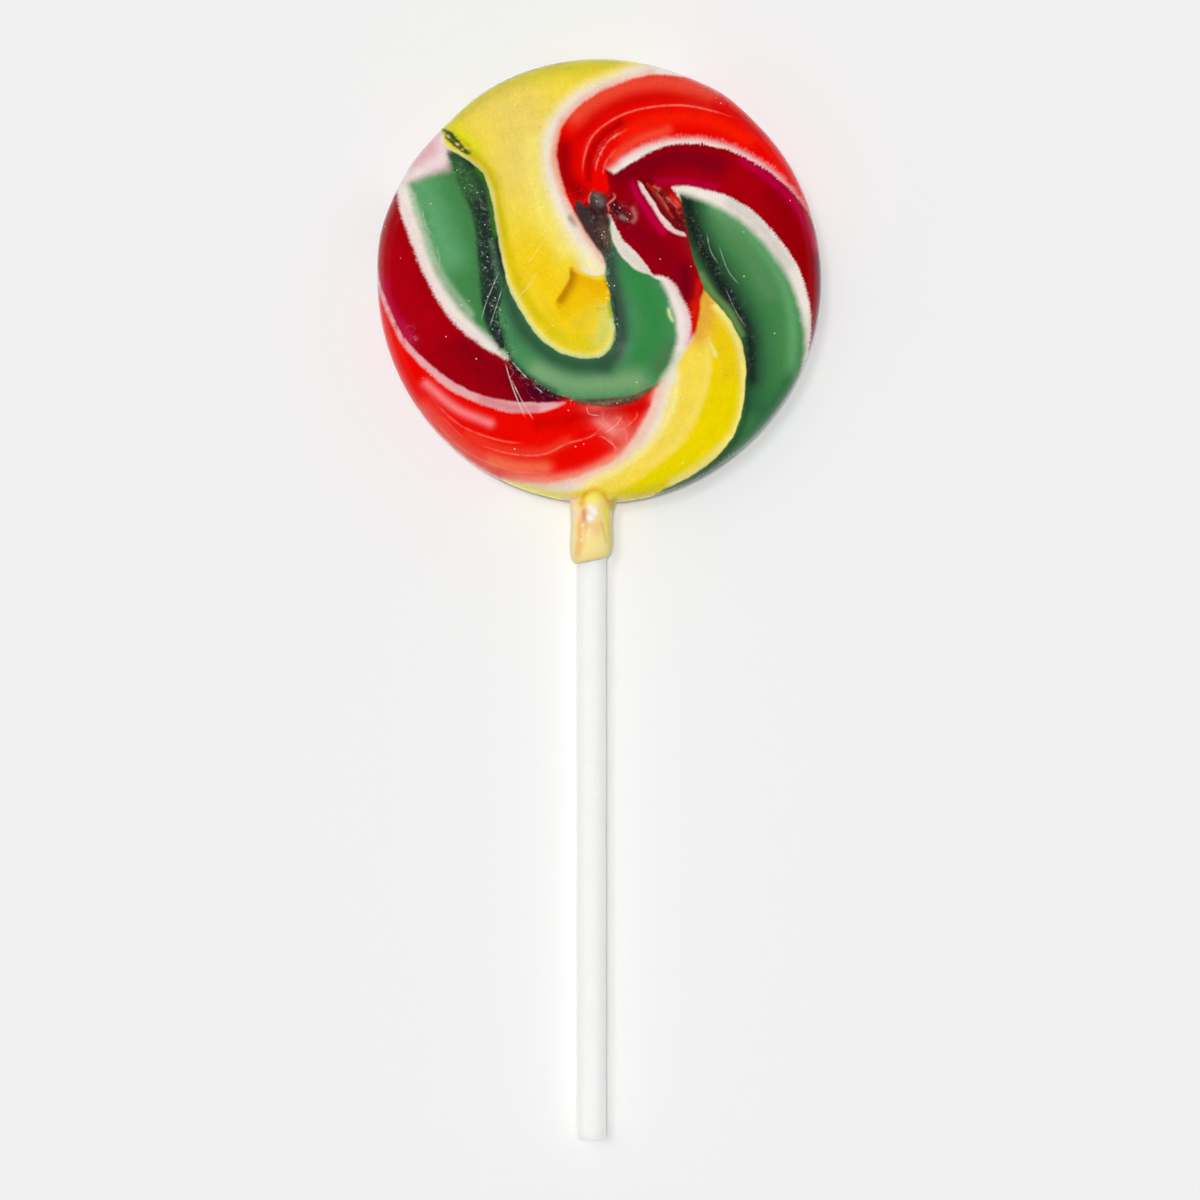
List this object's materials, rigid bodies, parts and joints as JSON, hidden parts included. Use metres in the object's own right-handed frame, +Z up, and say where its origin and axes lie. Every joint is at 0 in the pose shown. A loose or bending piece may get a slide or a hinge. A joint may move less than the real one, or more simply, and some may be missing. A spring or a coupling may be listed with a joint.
{
  "type": "swirl lollipop",
  "caption": "Flat round swirl lollipop in red, green and yellow sugar bands on a white paper stick, lying face up.",
  "frame": {"origin": "centre of the disc's flat resting face, on the surface that the lollipop lies on", "axes": "+Z up out of the shown face, +Y from the stick's end towards the head, +X to the right of the shown face"},
  "size_m": [0.0651, 0.1583, 0.0098],
  "materials": {
    "sugar": "glossy boiled sugar, slightly translucent, in twisted bands of red, dark red, green, yellow and white",
    "paper": "matt rolled paper stick"
  },
  "bodies": {
    "root": {"candy": "sugar", "stick": "paper"}
  },
  "joints": []
}
